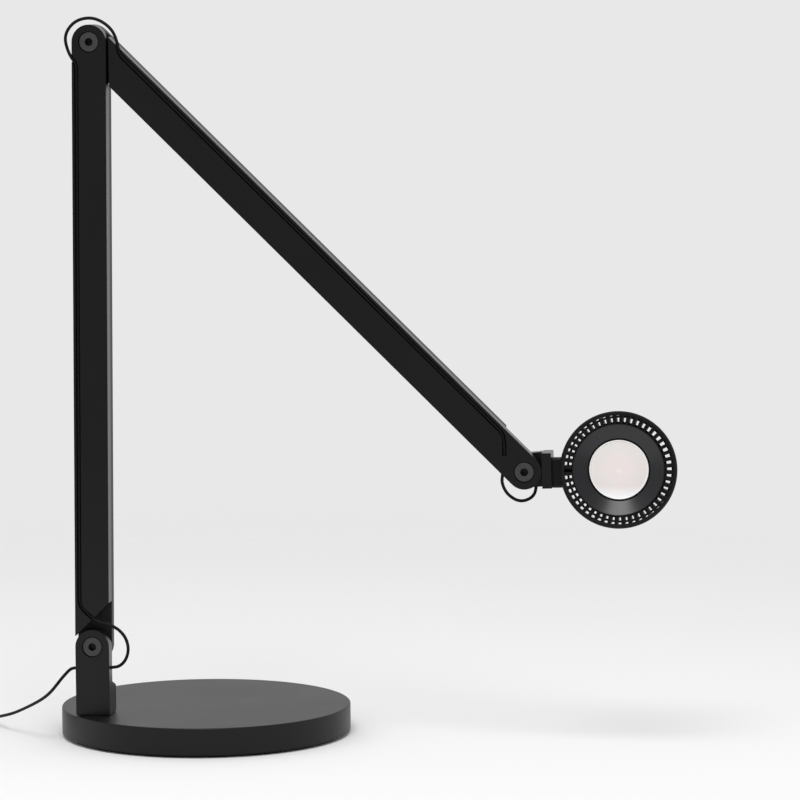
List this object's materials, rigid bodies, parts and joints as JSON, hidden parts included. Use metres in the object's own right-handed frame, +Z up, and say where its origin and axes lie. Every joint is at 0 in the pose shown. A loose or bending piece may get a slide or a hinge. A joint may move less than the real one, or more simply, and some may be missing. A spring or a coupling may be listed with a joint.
{
  "type": "desk lamp",
  "caption": "Jointed desk lamp on a round weighted base, with flat black arms, screwed pivots, a lead in grooves and a round finned LED head.",
  "frame": {"origin": "centre of the round base's underside", "axes": "+Z up, +X from the base's centre towards the head, -Y the side that the head and the screws face"},
  "size_m": [0.6115, 0.22, 0.5451],
  "materials": {
    "black_steel": "matt powder coat",
    "iron_weight": "as cast",
    "rubber_pad": "foam rubber",
    "black_aluminium": "matt powder coat",
    "cone_aluminium": "satin black",
    "black_screw": "blackened steel",
    "steel": "plain",
    "bronze": "sintered",
    "nylon_washer": "plain",
    "diffuser": "frosted",
    "board": "solder mask",
    "button_plastic": "matt",
    "lead": "matt jacket",
    "adapter_plastic": "matt moulded",
    "pin_brass": "nickel plated"
  },
  "bodies": {
    "base": {"base_cover": "black_steel", "base_weight": "iron_weight", "base_floor_plate": "black_steel", "base_pad": "rubber_pad", "base_screws": "steel", "swivel_bush": "bronze", "swivel_washer": "nylon_washer", "lead_free": "lead", "lead_coil": "lead", "adapter": "adapter_plastic", "adapter_pins": "pin_brass"},
    "bracket": {"bracket": "black_aluminium", "swivel_spindle": "steel", "swivel_nut": "steel", "lower_pivot_screw": "black_screw", "lower_friction_washer": "nylon_washer", "lower_pivot_nut": "black_screw", "lower_spring_cam": "steel", "lead_bottom_loop": "lead"},
    "lower_arm": {"lower_front_shell": "black_aluminium", "lower_rear_shell": "black_aluminium", "lower_tongue_cover": "black_aluminium", "lower_shell_screws": "black_screw", "lower_pivot_bushes": "bronze", "lower_balance_spring": "steel", "lower_pull_wire": "steel", "lower_anchor_pin": "steel", "lead_lower_arm": "lead", "upper_pivot_screw": "black_screw", "upper_friction_washer": "nylon_washer", "upper_pivot_nut": "black_screw", "upper_spring_cam": "steel", "lead_elbow_loop": "lead"},
    "upper_arm": {"upper_front_shell": "black_aluminium", "upper_rear_shell": "black_aluminium", "upper_tongue_cover": "black_aluminium", "upper_shell_screws": "black_screw", "upper_pivot_bushes": "bronze", "upper_balance_spring": "steel", "upper_pull_wire": "steel", "upper_anchor_pin": "steel", "lead_upper_arm": "lead", "head_pivot_screw": "black_screw", "head_friction_washer": "nylon_washer", "head_pivot_nut": "black_screw", "lead_head_loop": "lead"},
    "neck": {"neck_block": "black_aluminium", "neck_cap": "black_aluminium", "neck_screws": "black_screw", "head_pivot_bushes": "bronze"},
    "head": {"head_stem": "black_aluminium", "head_rim": "black_aluminium", "heat_sink": "cone_aluminium", "light_cone": "cone_aluminium", "diffuser": "diffuser", "led_board": "board", "driver_board": "board", "back_cover": "black_aluminium", "back_screws": "black_screw"},
    "button": {"power_button": "button_plastic"}
  },
  "joints": [
    {"name": "base_swivel", "type": "hinge", "parent": "base", "child": "bracket", "pos_m": [-0.0752, -0.0508, 0.023], "axis": [0, 0, 1], "range_deg": [-90, 90], "deforming": ["lead_free"]},
    {"name": "lower_tilt", "type": "hinge", "parent": "bracket", "child": "lower_arm", "pos_m": [-0.0752, -0.05175, 0.0745], "axis": [0, 1, 0], "range_deg": [-45, 80], "deforming": ["lead_bottom_loop", "lower_balance_spring", "lower_pull_wire"]},
    {"name": "elbow", "type": "hinge", "parent": "lower_arm", "child": "upper_arm", "pos_m": [-0.07126, -0.05175, 0.52618], "axis": [0, -1, 0], "range_deg": [0, 135], "deforming": ["lead_elbow_loop", "upper_balance_spring", "upper_pull_wire"]},
    {"name": "head_tilt", "type": "hinge", "parent": "upper_arm", "child": "neck", "pos_m": [0.25036, -0.05175, 0.20902], "axis": [0, 1, 0], "range_deg": [-40, 100], "deforming": ["lead_head_loop"]},
    {"name": "head_swivel", "type": "hinge", "parent": "neck", "child": "head", "pos_m": [0.25036, -0.0531, 0.20902], "axis": [0.9997, 0, 0.0227], "range_deg": [-90, 180]},
    {"name": "power_button", "type": "slide", "parent": "head", "child": "button", "axis": [-0.0018, -0.9969, 0.0784], "range_m": [0, 0.0015], "stiffness_N_per_m": 300, "springref_m": -0.002}
  ]
}
